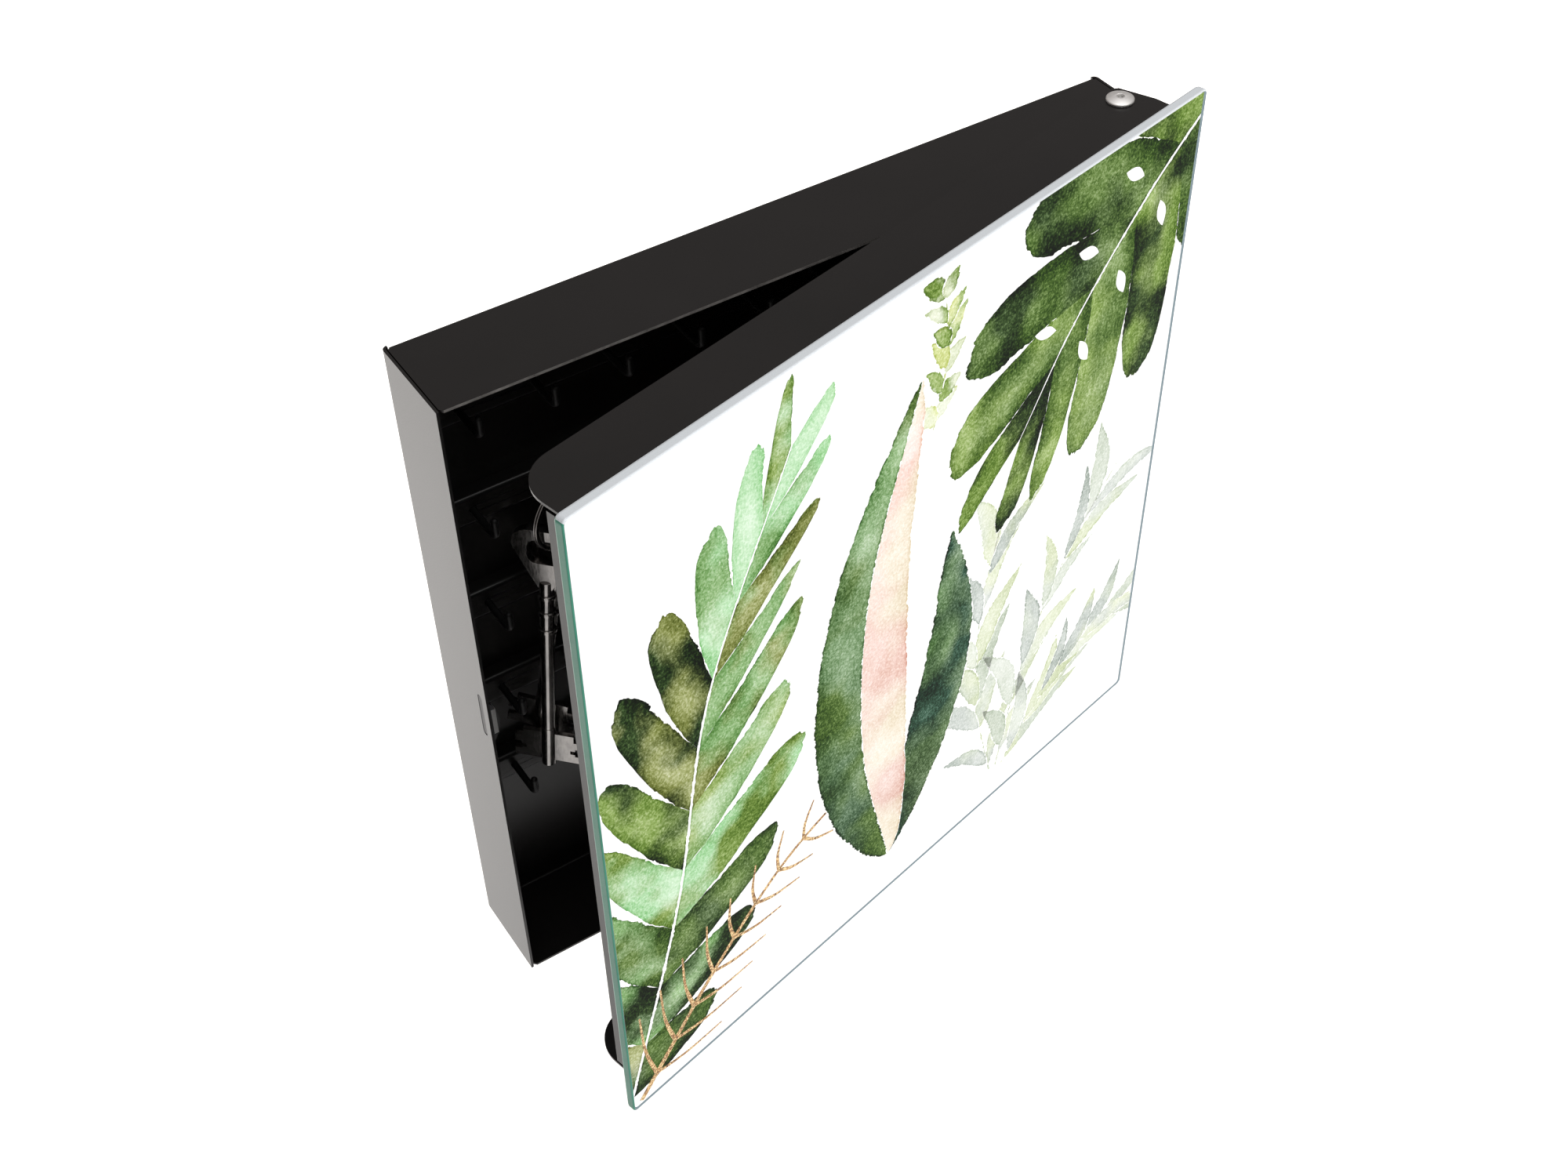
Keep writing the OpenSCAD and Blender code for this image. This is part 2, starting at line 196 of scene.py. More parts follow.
def black_lacquer():
    n = Nodes("black_lacquer")
    cloud = n.noise(300)
    n.shade(Base_Color=n.mix(n.ramp(cloud, 0.3, 0.7), rgba(0.004, 0.004, 0.004), rgba(0.008, 0.008, 0.008)))
    n.shade(Roughness=n.ramp(cloud, 0.3, 0.7, 0.42, 0.54), Specular_IOR_Level=0.25)
    n.shade(Normal=n.bump(n.noise(1500), 0.15, 0.00003))
    return n.material


def moulded_plastic():
    n = Nodes("moulded_plastic")
    grain = n.noise(3500, 4.0, 0.6)
    n.shade(Base_Color=n.mix(n.ramp(grain, 0.35, 0.65), rgba(0.02, 0.02, 0.021), rgba(0.032, 0.032, 0.034)))
    n.shade(Roughness=n.ramp(grain, 0.3, 0.7, 0.42, 0.58))
    n.shade(Normal=n.bump(grain, 0.3, 0.00003))
    return n.material


def satin_metal(name, low, high, rough_low, rough_high, grain_scale=(1, 1, 1), grain=900):
    """Bare or plated metal with fine directional grain and slight staining."""
    n = Nodes(name)
    fine = n.noise(grain, 3.0, 0.5, n.position(grain_scale))
    stain = n.noise(140, 4.0, 0.6)
    n.shade(Base_Color=n.mix(n.ramp(stain, 0.35, 0.7), rgba(*low), rgba(*high)), Metallic=1.0)
    n.shade(Roughness=n.ramp(fine, 0.3, 0.7, rough_low, rough_high))
    n.shade(Normal=n.bump(fine, 0.1, 0.000004))
    return n.material


def foam():
    n = Nodes("foam_tape")
    cells = n.add("ShaderNodeTexVoronoi", Scale=2500.0)
    n.set(cells, "Vector", n.position())
    shade = n.ramp(cells.outputs["Distance"], 0.0, 0.6)
    n.shade(Base_Color=n.mix(shade, rgba(0.012, 0.012, 0.012), rgba(0.04, 0.04, 0.04)), Roughness=0.9)
    n.shade(Normal=n.bump(cells.outputs["Distance"], 0.5, 0.0001))
    return n.material


def clear_rubber():
    n = Nodes("clear_rubber")
    cloud = n.noise(500)
    n.shade(Base_Color=n.mix(n.ramp(cloud, 0.3, 0.7), rgba(0.62, 0.63, 0.60), rgba(0.74, 0.74, 0.71)))
    n.shade(Roughness=n.ramp(cloud, 0.3, 0.7, 0.25, 0.4), Subsurface_Weight=0.4, Subsurface_Scale=0.001)
    return n.material


def ground_glass_edge():
    """Ground edge of green float glass: teal on the sides, with a painted highlight that turns it paler
    where it faces up.
    """
    n = Nodes("ground_glass_edge")
    grain = n.noise(2200, 4.0, 0.6)
    normal = n.tree.nodes.new("ShaderNodeNewGeometry").outputs["Normal"]
    split = n.add("ShaderNodeSeparateXYZ")
    n.set(split, "Vector", normal)
    # painted highlight: faces that look up turn pale, as if lit from above
    painted_top_light_mask = n.ramp(split.outputs["Z"], 0.35, 0.8)
    teal = n.mix(n.ramp(n.noise(60), 0.3, 0.7), rgba(0.018, 0.21, 0.135), rgba(0.028, 0.26, 0.165))
    pale = rgba(0.45, 0.48, 0.50)
    n.shade(Base_Color=n.mix(painted_top_light_mask, teal, pale), Roughness=n.ramp(grain, 0.3, 0.7, 0.28, 0.42))
    n.shade(Normal=n.bump(grain, 0.15, 0.00002))
    return n.material


def glass_arris():
    """Painted sheen for the top edge of the pane and its narrow ground chamfers: pale blue-grey paint in
    place of the light from above.
    """
    n = Nodes("glass_arris")
    grain = n.noise(2600, 3.0, 0.6)
    n.shade(Base_Color=n.mix(n.ramp(grain, 0.3, 0.7), rgba(0.62, 0.66, 0.69), rgba(0.70, 0.74, 0.77)))
    n.shade(Roughness=n.ramp(grain, 0.3, 0.7, 0.3, 0.45))
    return n.material


def bare_glass():
    """Unprinted margin of the front face, with the ground edge showing through."""
    n = Nodes("bare_glass")
    grain = n.noise(1200, 3.0, 0.6)
    n.shade(Base_Color=n.mix(n.ramp(grain, 0.3, 0.7), rgba(0.11, 0.17, 0.20), rgba(0.17, 0.24, 0.27)))
    n.shade(Roughness=0.12)
    return n.material


def glass_back():
    """Rear face of the glass: the white ink seen through green float glass."""
    n = Nodes("glass_back")
    cloud = n.noise(30)
    n.shade(Base_Color=n.mix(n.ramp(cloud, 0.3, 0.7), rgba(0.60, 0.72, 0.67), rgba(0.64, 0.76, 0.70)))
    n.shade(Roughness=n.ramp(cloud, 0.3, 0.7, 0.04, 0.07), Coat_Weight=0.5)
    return n.material


POWDER = powder_coat()
# painted highlight: paler paint for the lit front rim of the top panel
PAINTED_RIM_HIGHLIGHT = powder_edge()
LACQUER = black_lacquer()
PLASTIC = moulded_plastic()
RIVET_METAL = satin_metal("rivet_aluminium", (0.86, 0.85, 0.83), (0.93, 0.92, 0.90), 0.50, 0.62)
ZINC = satin_metal("zinc_plate", (0.52, 0.52, 0.52), (0.66, 0.66, 0.65), 0.30, 0.45)
NICKEL = satin_metal("worn_nickel", (0.34, 0.33, 0.32), (0.50, 0.48, 0.46), 0.14, 0.26, (1, 1, 0.2), 1600)
FOAM = foam()
RUBBER = clear_rubber()
EDGE = ground_glass_edge()
# painted sheen for the lit top edge of the pane
PAINTED_TOP_SHEEN = glass_arris()
GLASS_BACK = glass_back()
BARE_GLASS = bare_glass()


# ------------------------------------------------------------------ CAD nodes that stay

def finish_cad(name, material, bevel_mm=0.0):
    """Gives a carried-over CAD node its material and softened edges."""
    piece = NODES[name]
    piece.data.materials.clear()
    piece.data.materials.append(material)
    weld = piece.modifiers.new("weld", "WELD")
    weld.merge_threshold = 0.000002
    if bevel_mm:
        bevel = piece.modifiers.new("bevel", "BEVEL")
        bevel.width = bevel_mm * MM
        bevel.segments = 2
        bevel.limit_method = "ANGLE"
        bevel.angle_limit = math.radians(35)
    normals = piece.modifiers.new("normals", "WEIGHTED_NORMAL")
    normals.weight = 50
    return piece


TOP_RIM_FROM = 138


def paint_front_rim_highlight(piece):
    """Paints a highlight on the front rim of the top panel, in place of the light it catches."""
    front_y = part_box("box_shell")[0][1]
    # second slot: the painted highlight, for faces on the top panel's front rim
    piece.data.materials.append(PAINTED_RIM_HIGHLIGHT)
    for face in piece.data.polygons:
        at_front = abs(face.center.y - front_y) < 0.1 * MM
        if at_front and face.center.z > TOP_RIM_FROM * MM:
            face.material_index = 1


paint_front_rim_highlight(finish_cad("box_shell", POWDER, 0.22))
finish_cad("door_pan", POWDER, 0.22)
for row in range(1, 6):
    finish_cad(f"hook_rail_{row}", POWDER, 0.15)
    finish_cad(f"hooks_row_{row}", LACQUER)
finish_cad("catch_holder", PLASTIC, 0.12)
finish_cad("catch_magnet", ZINC, 0.1)
for end in ("top", "bottom"):
    finish_cad(f"spacer_washer_{end}", PLASTIC, 0.08)
    finish_cad(f"backing_washer_{end}", ZINC, 0.08)
    finish_cad(f"pivot_rivet_{end}", RIVET_METAL)
finish_cad("rivet_mandrels", ZINC)
finish_cad("mounting_tape", FOAM)

# ------------------------------------------------------------------ the printed picture

PRINT_HALF = 148.55
PRINT_SHIFT = (-0.9, 0.95)
PRINT_BACK = 45.30
PAPER_FRONT = 45.40
MESH_STEP = 0.9


def pigment(red, green, blue):
    """A paint colour given as 0-255 screen values, turned to linear light."""
    screen = np.array([red, green, blue]) / 255
    return np.where(screen < 0.04, screen / 12.92, ((screen + 0.055) / 1.055) ** 2.4)


MINT = pigment(184, 220, 180)
SAGE = pigment(150, 184, 132)
LEAF = pigment(132, 158, 84)
OLIVE = pigment(148, 156, 98)
MOSS = pigment(86, 114, 52)
FOREST = pigment(44, 66, 28)
SPRUCE = pigment(36, 68, 50)
BLUSH = pigment(238, 212, 202)
PEACH = pigment(233, 224, 206)
ROSE = pigment(216, 180, 168)
MIST = pigment(212, 219, 208)
REED = pigment(216, 223, 198)
LIME = pigment(202, 211, 146)
HAZE = pigment(197, 204, 199)


def smooth(x):
    x = np.clip(x, 0, 1)
    return x * x * (3 - 2 * x)


class Line:
    """A smooth line through a few points of the picture, x to the right and z up, in mm."""

    def __init__(self, points):
        p = np.array(points, float)
        p = np.vstack([2 * p[0] - p[1], p, 2 * p[-1] - p[-2]])
        t = np.linspace(0, 1, 40, endpoint=False)[:, None]
        fine = [
            b + t * (c - a) / 2 + t**2 * (a - 2.5 * b + 2 * c - d / 2)
            + t**3 * (1.5 * (b - c) + (d - a) / 2)
            for a, b, c, d in zip(p, p[1:], p[2:], p[3:])
        ]
        self.points = np.vstack(fine + [p[-2:-1]])
        steps = np.hypot(*np.diff(self.points, axis=0).T)
        along = np.r_[0, np.cumsum(steps)]
        self.length = along[-1]
        self.share = along / self.length
        tangent = np.gradient(self.points, axis=0)
        self.tangents = tangent / np.linalg.norm(tangent, axis=1)[:, None]

    def at(self, share):
        """Positions and unit tangents at these shares of the length."""
        def read(table):
            return np.stack([np.interp(share, self.share, table[:, i]) for i in (0, 1)], -1)
        return read(self.points), read(self.tangents)


def left_of(tangent):
    return np.stack([-tangent[..., 1], tangent[..., 0]], -1)


def ripple(rng, along, amount):
    """An uneven hand-drawn outline: a few waves of random phase, in mm."""
    total = np.zeros_like(along)
    for wave in (31, 13, 5.5, 2.3):
        total += amount * (wave / 31) ** 0.7 * np.sin(along * 2 * math.pi / wave + rng.uniform(0, 6.3))
    return total


class Patch:
    """One brush-painted area: a grid of points with its paint."""

    def __init__(self, xz, along, across, edge, tint, second, load):
        shape = xz.shape[:2]
        self.xz = xz
        self.along = np.broadcast_to(along, shape)
        self.across = np.broadcast_to(across, shape)
        self.edge = np.broadcast_to(edge, shape)
        self.tint = np.broadcast_to(tint, shape + (3,))
        self.second = np.broadcast_to(second, shape + (3,))
        self.load = np.broadcast_to(load, shape)


def blade(line, width, tint, second, load, rng, sides=(-1, 1), rough=0.25):
    """A leaf blade about a centre line; width, tint, second and load are called with (t, v).

    t runs 0..1 along the blade and v runs from sides[0] to sides[1] across it.
    """
    rows = max(8, int(line.length / MESH_STEP))
    t = np.linspace(0, 1, rows)[:, None]
    widest = max(float(width(x, side)) for x in np.linspace(0, 1, 21) for side in sides)
    columns = max(5, int(2 * widest / MESH_STEP) | 1)
    v = np.linspace(sides[0], sides[1], columns)[None, :]
    centre, tangent = line.at(t[:, 0])
    half = np.stack([width(t[:, 0], side) for side in (-1, 1)], -1)
    outline = np.stack([ripple(rng, t[:, 0] * line.length, rough) for _ in (0, 1)], -1)
    half = np.maximum(half + outline * np.minimum(1, half / 4), 0)
    reach = np.where(v < 0, half[:, :1], half[:, 1:])
    xz = centre[:, None, :] + (v * reach)[..., None] * left_of(tangent)[:, None, :]
    border = [(1 - np.abs(v)) * reach, (1 - t) * line.length, t * line.length]
    if sides[0] == 0:
        border.append(v * reach)
    edge = np.min(np.broadcast_arrays(*border), axis=0)
    return Patch(xz, t * line.length, v * reach, edge, tint(t, v), second(t, v), load(t, v))


RIB_GAP = 0.7
ROOT_MARGIN = 6


def lobe(rib, start, end, side, length, lean, fan, turn, gap, split, tint, second, load, rng):
    """One lobe of a large leaf, between the shares start and end of its midrib.

    It leans by lean radians from square to the rib towards the tip, by fan more at its far
    side and by turn more at its end, and draws in by the share gap beyond the share split.
    """
    base_mm = (end - start) * rib.length
    full_mm = base_mm + fan * length
    s = np.linspace(0, 1, max(9, int(full_mm / MESH_STEP)))[:, None]
    r = np.linspace(0, 1, max(12, int(length / MESH_STEP)))[None, :]
    spread = 1 - gap * smooth((r - split) / (1 - split))
    wander = ripple(rng, r * length, 0.35) / full_mm * smooth(r / 0.2)
    across_share = 0.5 + (s - 0.5) * spread + wander
    base, tangent = rib.at(start + (end - start) * across_share)
    rounded = 1 - 0.32 * np.abs(2 * s - 1) ** 3.0 - 0.05 * rng.uniform(-1, 1) * (2 * s - 1)
    reach = length * rounded + ripple(rng, s * full_mm * 2, 0.6)
    angle = (lean + fan * across_share + turn * r)[..., None]
    square = side * left_of(tangent)
    xz = base + (RIB_GAP + r * reach)[..., None] * (np.cos(angle) * square + np.sin(angle) * tangent)
    width_mm = base_mm + fan * r * length
    root_mm = ROOT_MARGIN * (1 - smooth(r / max(split, 0.02)))
    side_mm = (0.5 - np.abs(s - 0.5)) * width_mm * spread + root_mm
    edge = np.min(np.broadcast_arrays(side_mm, (1 - r) * reach, 0.3 + r * reach), axis=0)
    return Patch(xz, r * reach, (s - 0.5) * full_mm, edge, tint(r, s), second(r, s), load(r, s))


def paint(name, patches, material, lift):
    """Builds the patches as one mesh lift mm in front of the white ground, cut to the print."""
    points, faces = [], []
    columns = {"along": [], "across": [], "edge": [], "load": [], "tint": [], "second": []}
    count = 0
    for order, patch in enumerate(patches):
        rows, width = patch.xz.shape[:2]
        depth = np.full((rows, width), -(PAPER_FRONT + lift + 0.0006 * (order % 12)))
        points.append(np.stack([patch.xz[..., 0], depth, patch.xz[..., 1]], -1).reshape(-1, 3) * MM)
        index = count + np.arange(rows * width).reshape(rows, width)
        quads = np.stack([index[:-1, :-1], index[1:, :-1], index[1:, 1:], index[:-1, 1:]], -1)
        faces.append(quads.reshape(-1, 4))
        for key, parts in columns.items():
            values = getattr(patch, key)
            parts.append(values.reshape(rows * width, -1))
        count += rows * width
    mesh = bpy.data.meshes.new(name)
    mesh.from_pydata(np.vstack(points).tolist(), [], np.vstack(faces).tolist())
    for key, parts in columns.items():
        values = np.vstack(parts).astype(np.float32)
        if values.shape[1] == 3:
            values = np.hstack([values, np.ones((len(values), 1), np.float32)])
            mesh.attributes.new(key, "FLOAT_COLOR", "POINT").data.foreach_set("color", values.ravel())
        else:
            mesh.attributes.new(key, "FLOAT", "POINT").data.foreach_set("value", values.ravel())
    trim_to_print(mesh)
    face_forward(mesh)
    mesh.materials.append(material)
    piece = add_object(name, mesh)
    return hang_on_door(piece)


def trim_to_print(mesh):
    """Cuts off whatever runs past the four edges of the print."""
    shell = bmesh.new()
    shell.from_mesh(mesh)
    for axis, shift in zip((Vector((1, 0, 0)), Vector((0, 0, 1))), PRINT_SHIFT):
        for way in (-1, 1):
            everything = shell.verts[:] + shell.edges[:] + shell.faces[:]
            bmesh.ops.bisect_plane(
                shell, geom=everything, dist=1e-7, plane_co=axis * (way * PRINT_HALF + shift) * MM,
                plane_no=axis * way, clear_outer=True,
            )
    shell.to_mesh(mesh)
    shell.free()


def face_forward(mesh):
    """Turns every face so that it looks out of the front of the door."""
    shell = bmesh.new()
    shell.from_mesh(mesh)
    shell.normal_update()
    backwards = [face for face in shell.faces if face.normal.y > 0]
    bmesh.ops.reverse_faces(shell, faces=backwards)
    shell.to_mesh(mesh)
    shell.free()


def hang_on_door(piece):
    """Swings a piece built for the closed door to the ajar door and fixes it there."""
    piece.data.transform(DOOR_TURN)
    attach(piece, "door")
    return piece


INK_ROUGHNESS = 0.35
INK_SPECULAR = 0.03
PAPER = 0.92


def watercolour(name, bloom_scale=38, streaks=0.12):
    """Transparent paint on rough paper: blooms, streaks along the veins, pooled dark edges."""
    n = Nodes(name)

    def attribute(key, output="Fac"):
        node = n.tree.nodes.new("ShaderNodeAttribute")
        node.attribute_name = key
        return node.outputs[output]

    place = n.position()
    bloom = n.noise(bloom_scale, 2.0, 0.5, place)
    cloud = n.noise(48, 3.0, 0.5, place)
    grain = n.noise(950, 4.0, 0.75, place)
    flow = n.add("ShaderNodeCombineXYZ", X=n.math("MULTIPLY", attribute("along"), 0.04))
    n.set(flow, "Y", n.math("MULTIPLY", attribute("across"), 0.55))
    streak = n.noise(1.0, 2.0, 0.5, flow.outputs[0])
    tint = n.mix(n.ramp(bloom, 0.42, 0.60), attribute("tint", "Color"), attribute("second", "Color"))
    body = n.math("MULTIPLY", attribute("load"), n.ramp(cloud, 0.30, 0.70, 0.65, 1.35))
    body = n.math("MULTIPLY", body, n.ramp(streak, 0.3, 0.7, 1 - streaks, 1 + streaks))
    pool = n.ramp(n.noise(80, 2.0, 0.5, place), 0.40, 0.60, 0.25, 1.0)
    pooling = n.math("MULTIPLY", pool, attribute("load"))
    rim = n.math("MULTIPLY", n.ramp(attribute("edge"), 0.3, 1.5, 0.9, 0.0), pooling)
    speckle = n.math("MULTIPLY", n.ramp(grain, 0.35, 0.65, 0.55, 1.45), n.math("ADD", body, rim))
    deckle = n.ramp(n.noise(420, 3.0, 0.6, place), 0.42, 0.68, 0.0, 0.9)
    covered = n.math("MULTIPLY", speckle, n.ramp(n.math("SUBTRACT", attribute("edge"), deckle), -0.02, 0.1))
    paint = n.add("ShaderNodeGamma", Color=tint, Gamma=covered)
    colour = n.mix(1.0, paint.outputs[0], rgba(PAPER, PAPER, PAPER), "MULTIPLY")
    n.shade(Base_Color=colour, Roughness=INK_ROUGHNESS, Specular_IOR_Level=INK_SPECULAR)
    return n.material


def white_ink():
    n = Nodes("white_ink")
    cloud = n.noise(60, 3.0)
    n.shade(Base_Color=n.mix(n.ramp(cloud, 0.3, 0.7), rgba(0.90, 0.90, 0.90), rgba(0.93, 0.93, 0.93)))
    n.shade(Roughness=INK_ROUGHNESS, Specular_IOR_Level=INK_SPECULAR)
    return n.material


def gold_glitter():
    """Fine copper-gold flakes, each with its own brightness."""
    n = Nodes("gold_glitter")
    flakes = n.add("ShaderNodeTexVoronoi", Scale=1900.0)
    n.set(flakes, "Vector", n.position())
    split = n.add("ShaderNodeSeparateColor")
    n.set(split, "Color", flakes.outputs["Color"])
    chance = split.outputs[0]
    brown, copper, gold = rgba(0.11, 0.045, 0.012), rgba(0.46, 0.24, 0.08), rgba(0.86, 0.66, 0.34)
    lower = n.mix(n.ramp(chance, 0.10, 0.45), brown, copper)
    n.shade(Base_Color=n.mix(n.ramp(chance, 0.60, 0.85), lower, gold))
    n.shade(Roughness=0.4, Specular_IOR_Level=0.3)
    return n.material


def constant(value):
    return lambda t, v: np.broadcast_to(value, np.broadcast(t, v).shape + np.shape(value))


def blend_along(first, last):
    """Paint that changes from the first colour at the base to the last at the tip."""
    def colour(t, v):
        share = np.broadcast_to(t, np.broadcast(t, v).shape)[..., None]
        return first + (last - first) * share
    return colour


def lancet(widest, power=0.8):
    """Half width of a slender pointed leaf."""
    return lambda t, side: widest * np.sin(math.pi * np.clip(t, 0, 1) ** power) ** 0.9


def both_pigments(tint, second):
    return {"tint": constant(tint), "second": constant(second)}


def wash(base, near_start, near_end, rising=0.0):
    """Paint load of a lobe: base plus more towards its upper and lower side, and along it."""
    def load(r, s):
        towards_sides = near_start * smooth(1.0 - 2.4 * s) + near_end * smooth(2.4 * s - 1.4)
        return base + towards_sides + rising * r
    return load


LOBE_TURN = 0.1


def split_leaf(rib, pairs, reach, lean, fan, gaps, pigments, rng):
    """Large leaf with pairs of lobes along its rib, the longest at mid length.

    lean goes from its first value at the base to its second at the tip, and pigments are in that
    order too.
    """
    patches = []
    for side in (-1, 1):
        for i in range(pairs):
            share = (i + 0.5) / pairs
            length = reach * (0.45 + 0.55 * math.sin(math.pi * share ** 0.8)) * rng.uniform(0.92, 1.08)
            angle = lean[0] + (lean[1] - lean[0]) * share
            load = wash(rng.uniform(0.7, 1.1), rng.uniform(0.3, 0.8), rng.uniform(0.1, 0.6), 0.2)
            patches.append(lobe(
                rib, i / pairs, (i + 1) / pairs, side, length, angle, fan, LOBE_TURN,
                rng.uniform(*gaps), rng.uniform(0.3, 0.5), constant(pigments[int(share * len(pigments))]),
                constant(rng.choice(pigments)), load, rng,
            ))
    return patches


MONSTERA_RIB = Line([(162, 150), (122, 122), (84, 86), (58, 50)])


def banana_leaf():
    """Big leaf that grows up the left side, dark at the base and pale at the tip."""
    rib = Line([(-150, -140), (-120, -50), (-100, 40), (-60, 120)])
    greens = [FOREST, MOSS, LEAF, OLIVE, SAGE, MINT]
    return split_leaf(rib, 10, 66, (0.3, 1.1), 0.06, (0.08, 0.24), greens, random.Random(11))


def monstera():
    """Dark split leaf that hangs in from the top right corner."""
    greens = [FOREST, MOSS, LEAF]
    return split_leaf(MONSTERA_RIB, 5, 84, (0.1, 1.1), 0.25, (0.12, 0.18), greens, random.Random(23))


def monstera_holes():
    """Openings on both sides of the split leaf's rib, left as bare paper."""
    rng = random.Random(3)
    patches = []
    for side in (-1, 1):
        for share in (0.3, 0.5, 0.7):
            foot, tangent = MONSTERA_RIB.at(np.float64(share))
            way = left_of(tangent) * side + tangent * 0.4
            line = Line([foot + way * 10, foot + way * 16, foot + way * 22])
            patches.append(blade(
                line, lancet(2.6, 1.0), rng=rng, load=constant(0.0), **both_pigments(MIST, MIST),
            ))
    return patches


def belly(half, power):
    """Half width of a broad leaf, widest nearer its base for a smaller power."""
    return lambda t, side: half * np.sin(math.pi * np.clip(t, 0, 1) ** power) ** 0.75


def broad_leaves():
    """Two plain pointed leaves from one foot: a dark one behind, and one half blush, half green."""
    rng = random.Random(5)
    behind = Line([(-8, -126), (12, -76), (24, -26), (22, 30)])
    rib = Line([(-8, -126), (-24, -50), (-22, 30), (2, 110)])
    return [
        blade(behind, belly(15, 0.9), blend_along(FOREST, SAGE), constant(SPRUCE),
              lambda t, v: 1.1 + 0.3 * v, rng),
        blade(rib, belly(25, 0.8), blend_along(ROSE, BLUSH), constant(PEACH),
              lambda t, v: 0.8 + 0.4 * v * v, rng, sides=(-1, 0)),
        blade(rib, belly(25, 0.8), blend_along(SPRUCE, SAGE), constant(MOSS),
              lambda t, v: 0.9 + 0.5 * v * v, rng, sides=(0, 1)),
    ]


def frond(stem, count, length, width, spread, pigments, load, rng):
    """A thin stem with pairs of narrow leaves."""
    patches = [blade(stem, lambda t, side: 0.6 - 0.3 * t, rng=rng, load=constant(1.2), rough=0.05,
                     **both_pigments(pigments[0], pigments[1]))]
    for i in range(count):
        for side in (-1, 1):
            share = 0.05 + 0.93 * (i + rng.uniform(-0.2, 0.2)) / count
            foot, tangent = stem.at(np.float64(max(share, 0.01)))
            angle = side * rng.uniform(*spread)
            way = tangent * math.cos(angle) + left_of(tangent) * math.sin(angle)
            reach = rng.uniform(*length)
            bow = left_of(way) * side * -0.10 * reach
            line = Line([foot, foot + way * reach * 0.5 + bow, foot + way * reach])
            patches.append(blade(
                line, lancet(rng.uniform(*width)), rng=rng, load=constant(rng.uniform(*load)), rough=0.12,
                **both_pigments(rng.choice(pigments), rng.choice(pigments)),
            ))
    return patches


def willow():
    """Pale narrow leaves on three thin stems that fan out from one foot."""
    rng = random.Random(31)
    pale = [MIST, REED, HAZE]
    stems = [
        Line([(56, -130), (44, -80), (42, -30), (52, 20)]),
        Line([(60, -130), (72, -80), (94, -36), (126, 0)]),
        Line([(64, -132), (90, -106), (118, -92), (144, -88)]),
    ]
    patches = []
    for stem in stems:
        patches += frond(stem, 6, (34, 52), (3.5, 6.0), (0.35, 0.7), pale, (0.7, 1.4), rng)
    return patches


def sprig():
    """Small yellow-green sprig at the top."""
    stem = Line([(8, 84), (14, 114), (10, 146)])
    fresh = [LIME, REED, LEAF]
    return frond(stem, 6, (12, 18), (3.0, 4.4), (0.5, 0.9), fresh, (0.6, 1.2), random.Random(8))


def gold_stroke(line, width, rng):
    return blade(
        line, lambda t, side: width * (1.2 - 0.7 * t), rng=rng, load=constant(1.0),
        **both_pigments(LIME, LIME),
    )


FERN_PAIRS = 9
FERN_ANGLE = 0.9


def gold_fern():
    """Glitter frond that crosses the big leaf from the lower left corner."""
    rng = random.Random(17)
    stem = Line([(-146, -146), (-104, -104), (-66, -76), (-22, -62)])
    patches = [gold_stroke(stem, 1.2, rng)]
    for i in range(FERN_PAIRS):
        foot, tangent = stem.at(np.float64(0.08 + 0.88 * i / FERN_PAIRS))
        for side in (-1, 1):
            way = tangent * math.cos(FERN_ANGLE) + left_of(tangent) * side * math.sin(FERN_ANGLE)
            length = 38 * (1 - 0.7 * i / FERN_PAIRS) * rng.uniform(0.9, 1.1)
            line = Line([foot, foot + way * length * 0.5 - tangent * 2, foot + way * length])
            patches.append(gold_stroke(line, 0.8, rng))
    return patches


def white_ground():
    """The opaque white ink that covers the front of the glass."""
    shell = bmesh.new()
    bmesh.ops.create_cube(shell, size=1.0)
    depth = PAPER_FRONT - PRINT_BACK
    for vertex in shell.verts:
        vertex.co.x = (2 * vertex.co.x * PRINT_HALF + PRINT_SHIFT[0]) * MM
        vertex.co.z = (2 * vertex.co.z * PRINT_HALF + PRINT_SHIFT[1]) * MM
        vertex.co.y = -(PRINT_BACK + depth / 2) * MM + vertex.co.y * depth * MM
    upright = [e for e in shell.edges if abs(e.verts[0].co.y - e.verts[1].co.y) > 0.5 * depth * MM]
    bmesh.ops.bevel(shell, geom=upright, offset=1.6 * MM, segments=4, profile=0.5, affect="EDGES")
    mesh = bpy.data.meshes.new("print_white_ground")
    shell.to_mesh(mesh)
    shell.free()
    mesh.materials.append(white_ink())
    return hang_on_door(add_object("print_white_ground", mesh))


def print_picture():
    ground = white_ground()
    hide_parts("print_layer")
    pieces = [
        ground,
        paint("print_willow", willow(), watercolour("paint_willow", 40, 0.04), 0.010),
        paint("print_sprig", sprig(), watercolour("paint_sprig", 90, 0.04), 0.020),
        paint("print_banana_leaf", banana_leaf(), watercolour("paint_banana_leaf"), 0.030),
        paint("print_gold_fern", gold_fern(), gold_glitter(), 0.042),
        paint("print_monstera", monstera(), watercolour("paint_monstera"), 0.050),
        paint("print_monstera_holes", monstera_holes(), white_ink(), 0.062),
        paint("print_broad_leaves", broad_leaves(), watercolour("paint_broad_leaves", 30, 0.04), 0.072),
    ]


print_picture()

# ------------------------------------------------------------------ glass pane

GLASS_HALF = 150.0
GLASS_BACK_Y = 41.3
GLASS_THICK = 4.0
GLASS_CORNER = 2.0
GLASS_ARRIS_FRONT = 0.5
GLASS_ARRIS_BACK = 1.0
NEAR_EDGE = GLASS_HALF - 1.0
FRONT_CHAMFER = 3
SIDE_FACE, UPPER_FACE, REAR_FACE, FRONT_FACE = range(4)


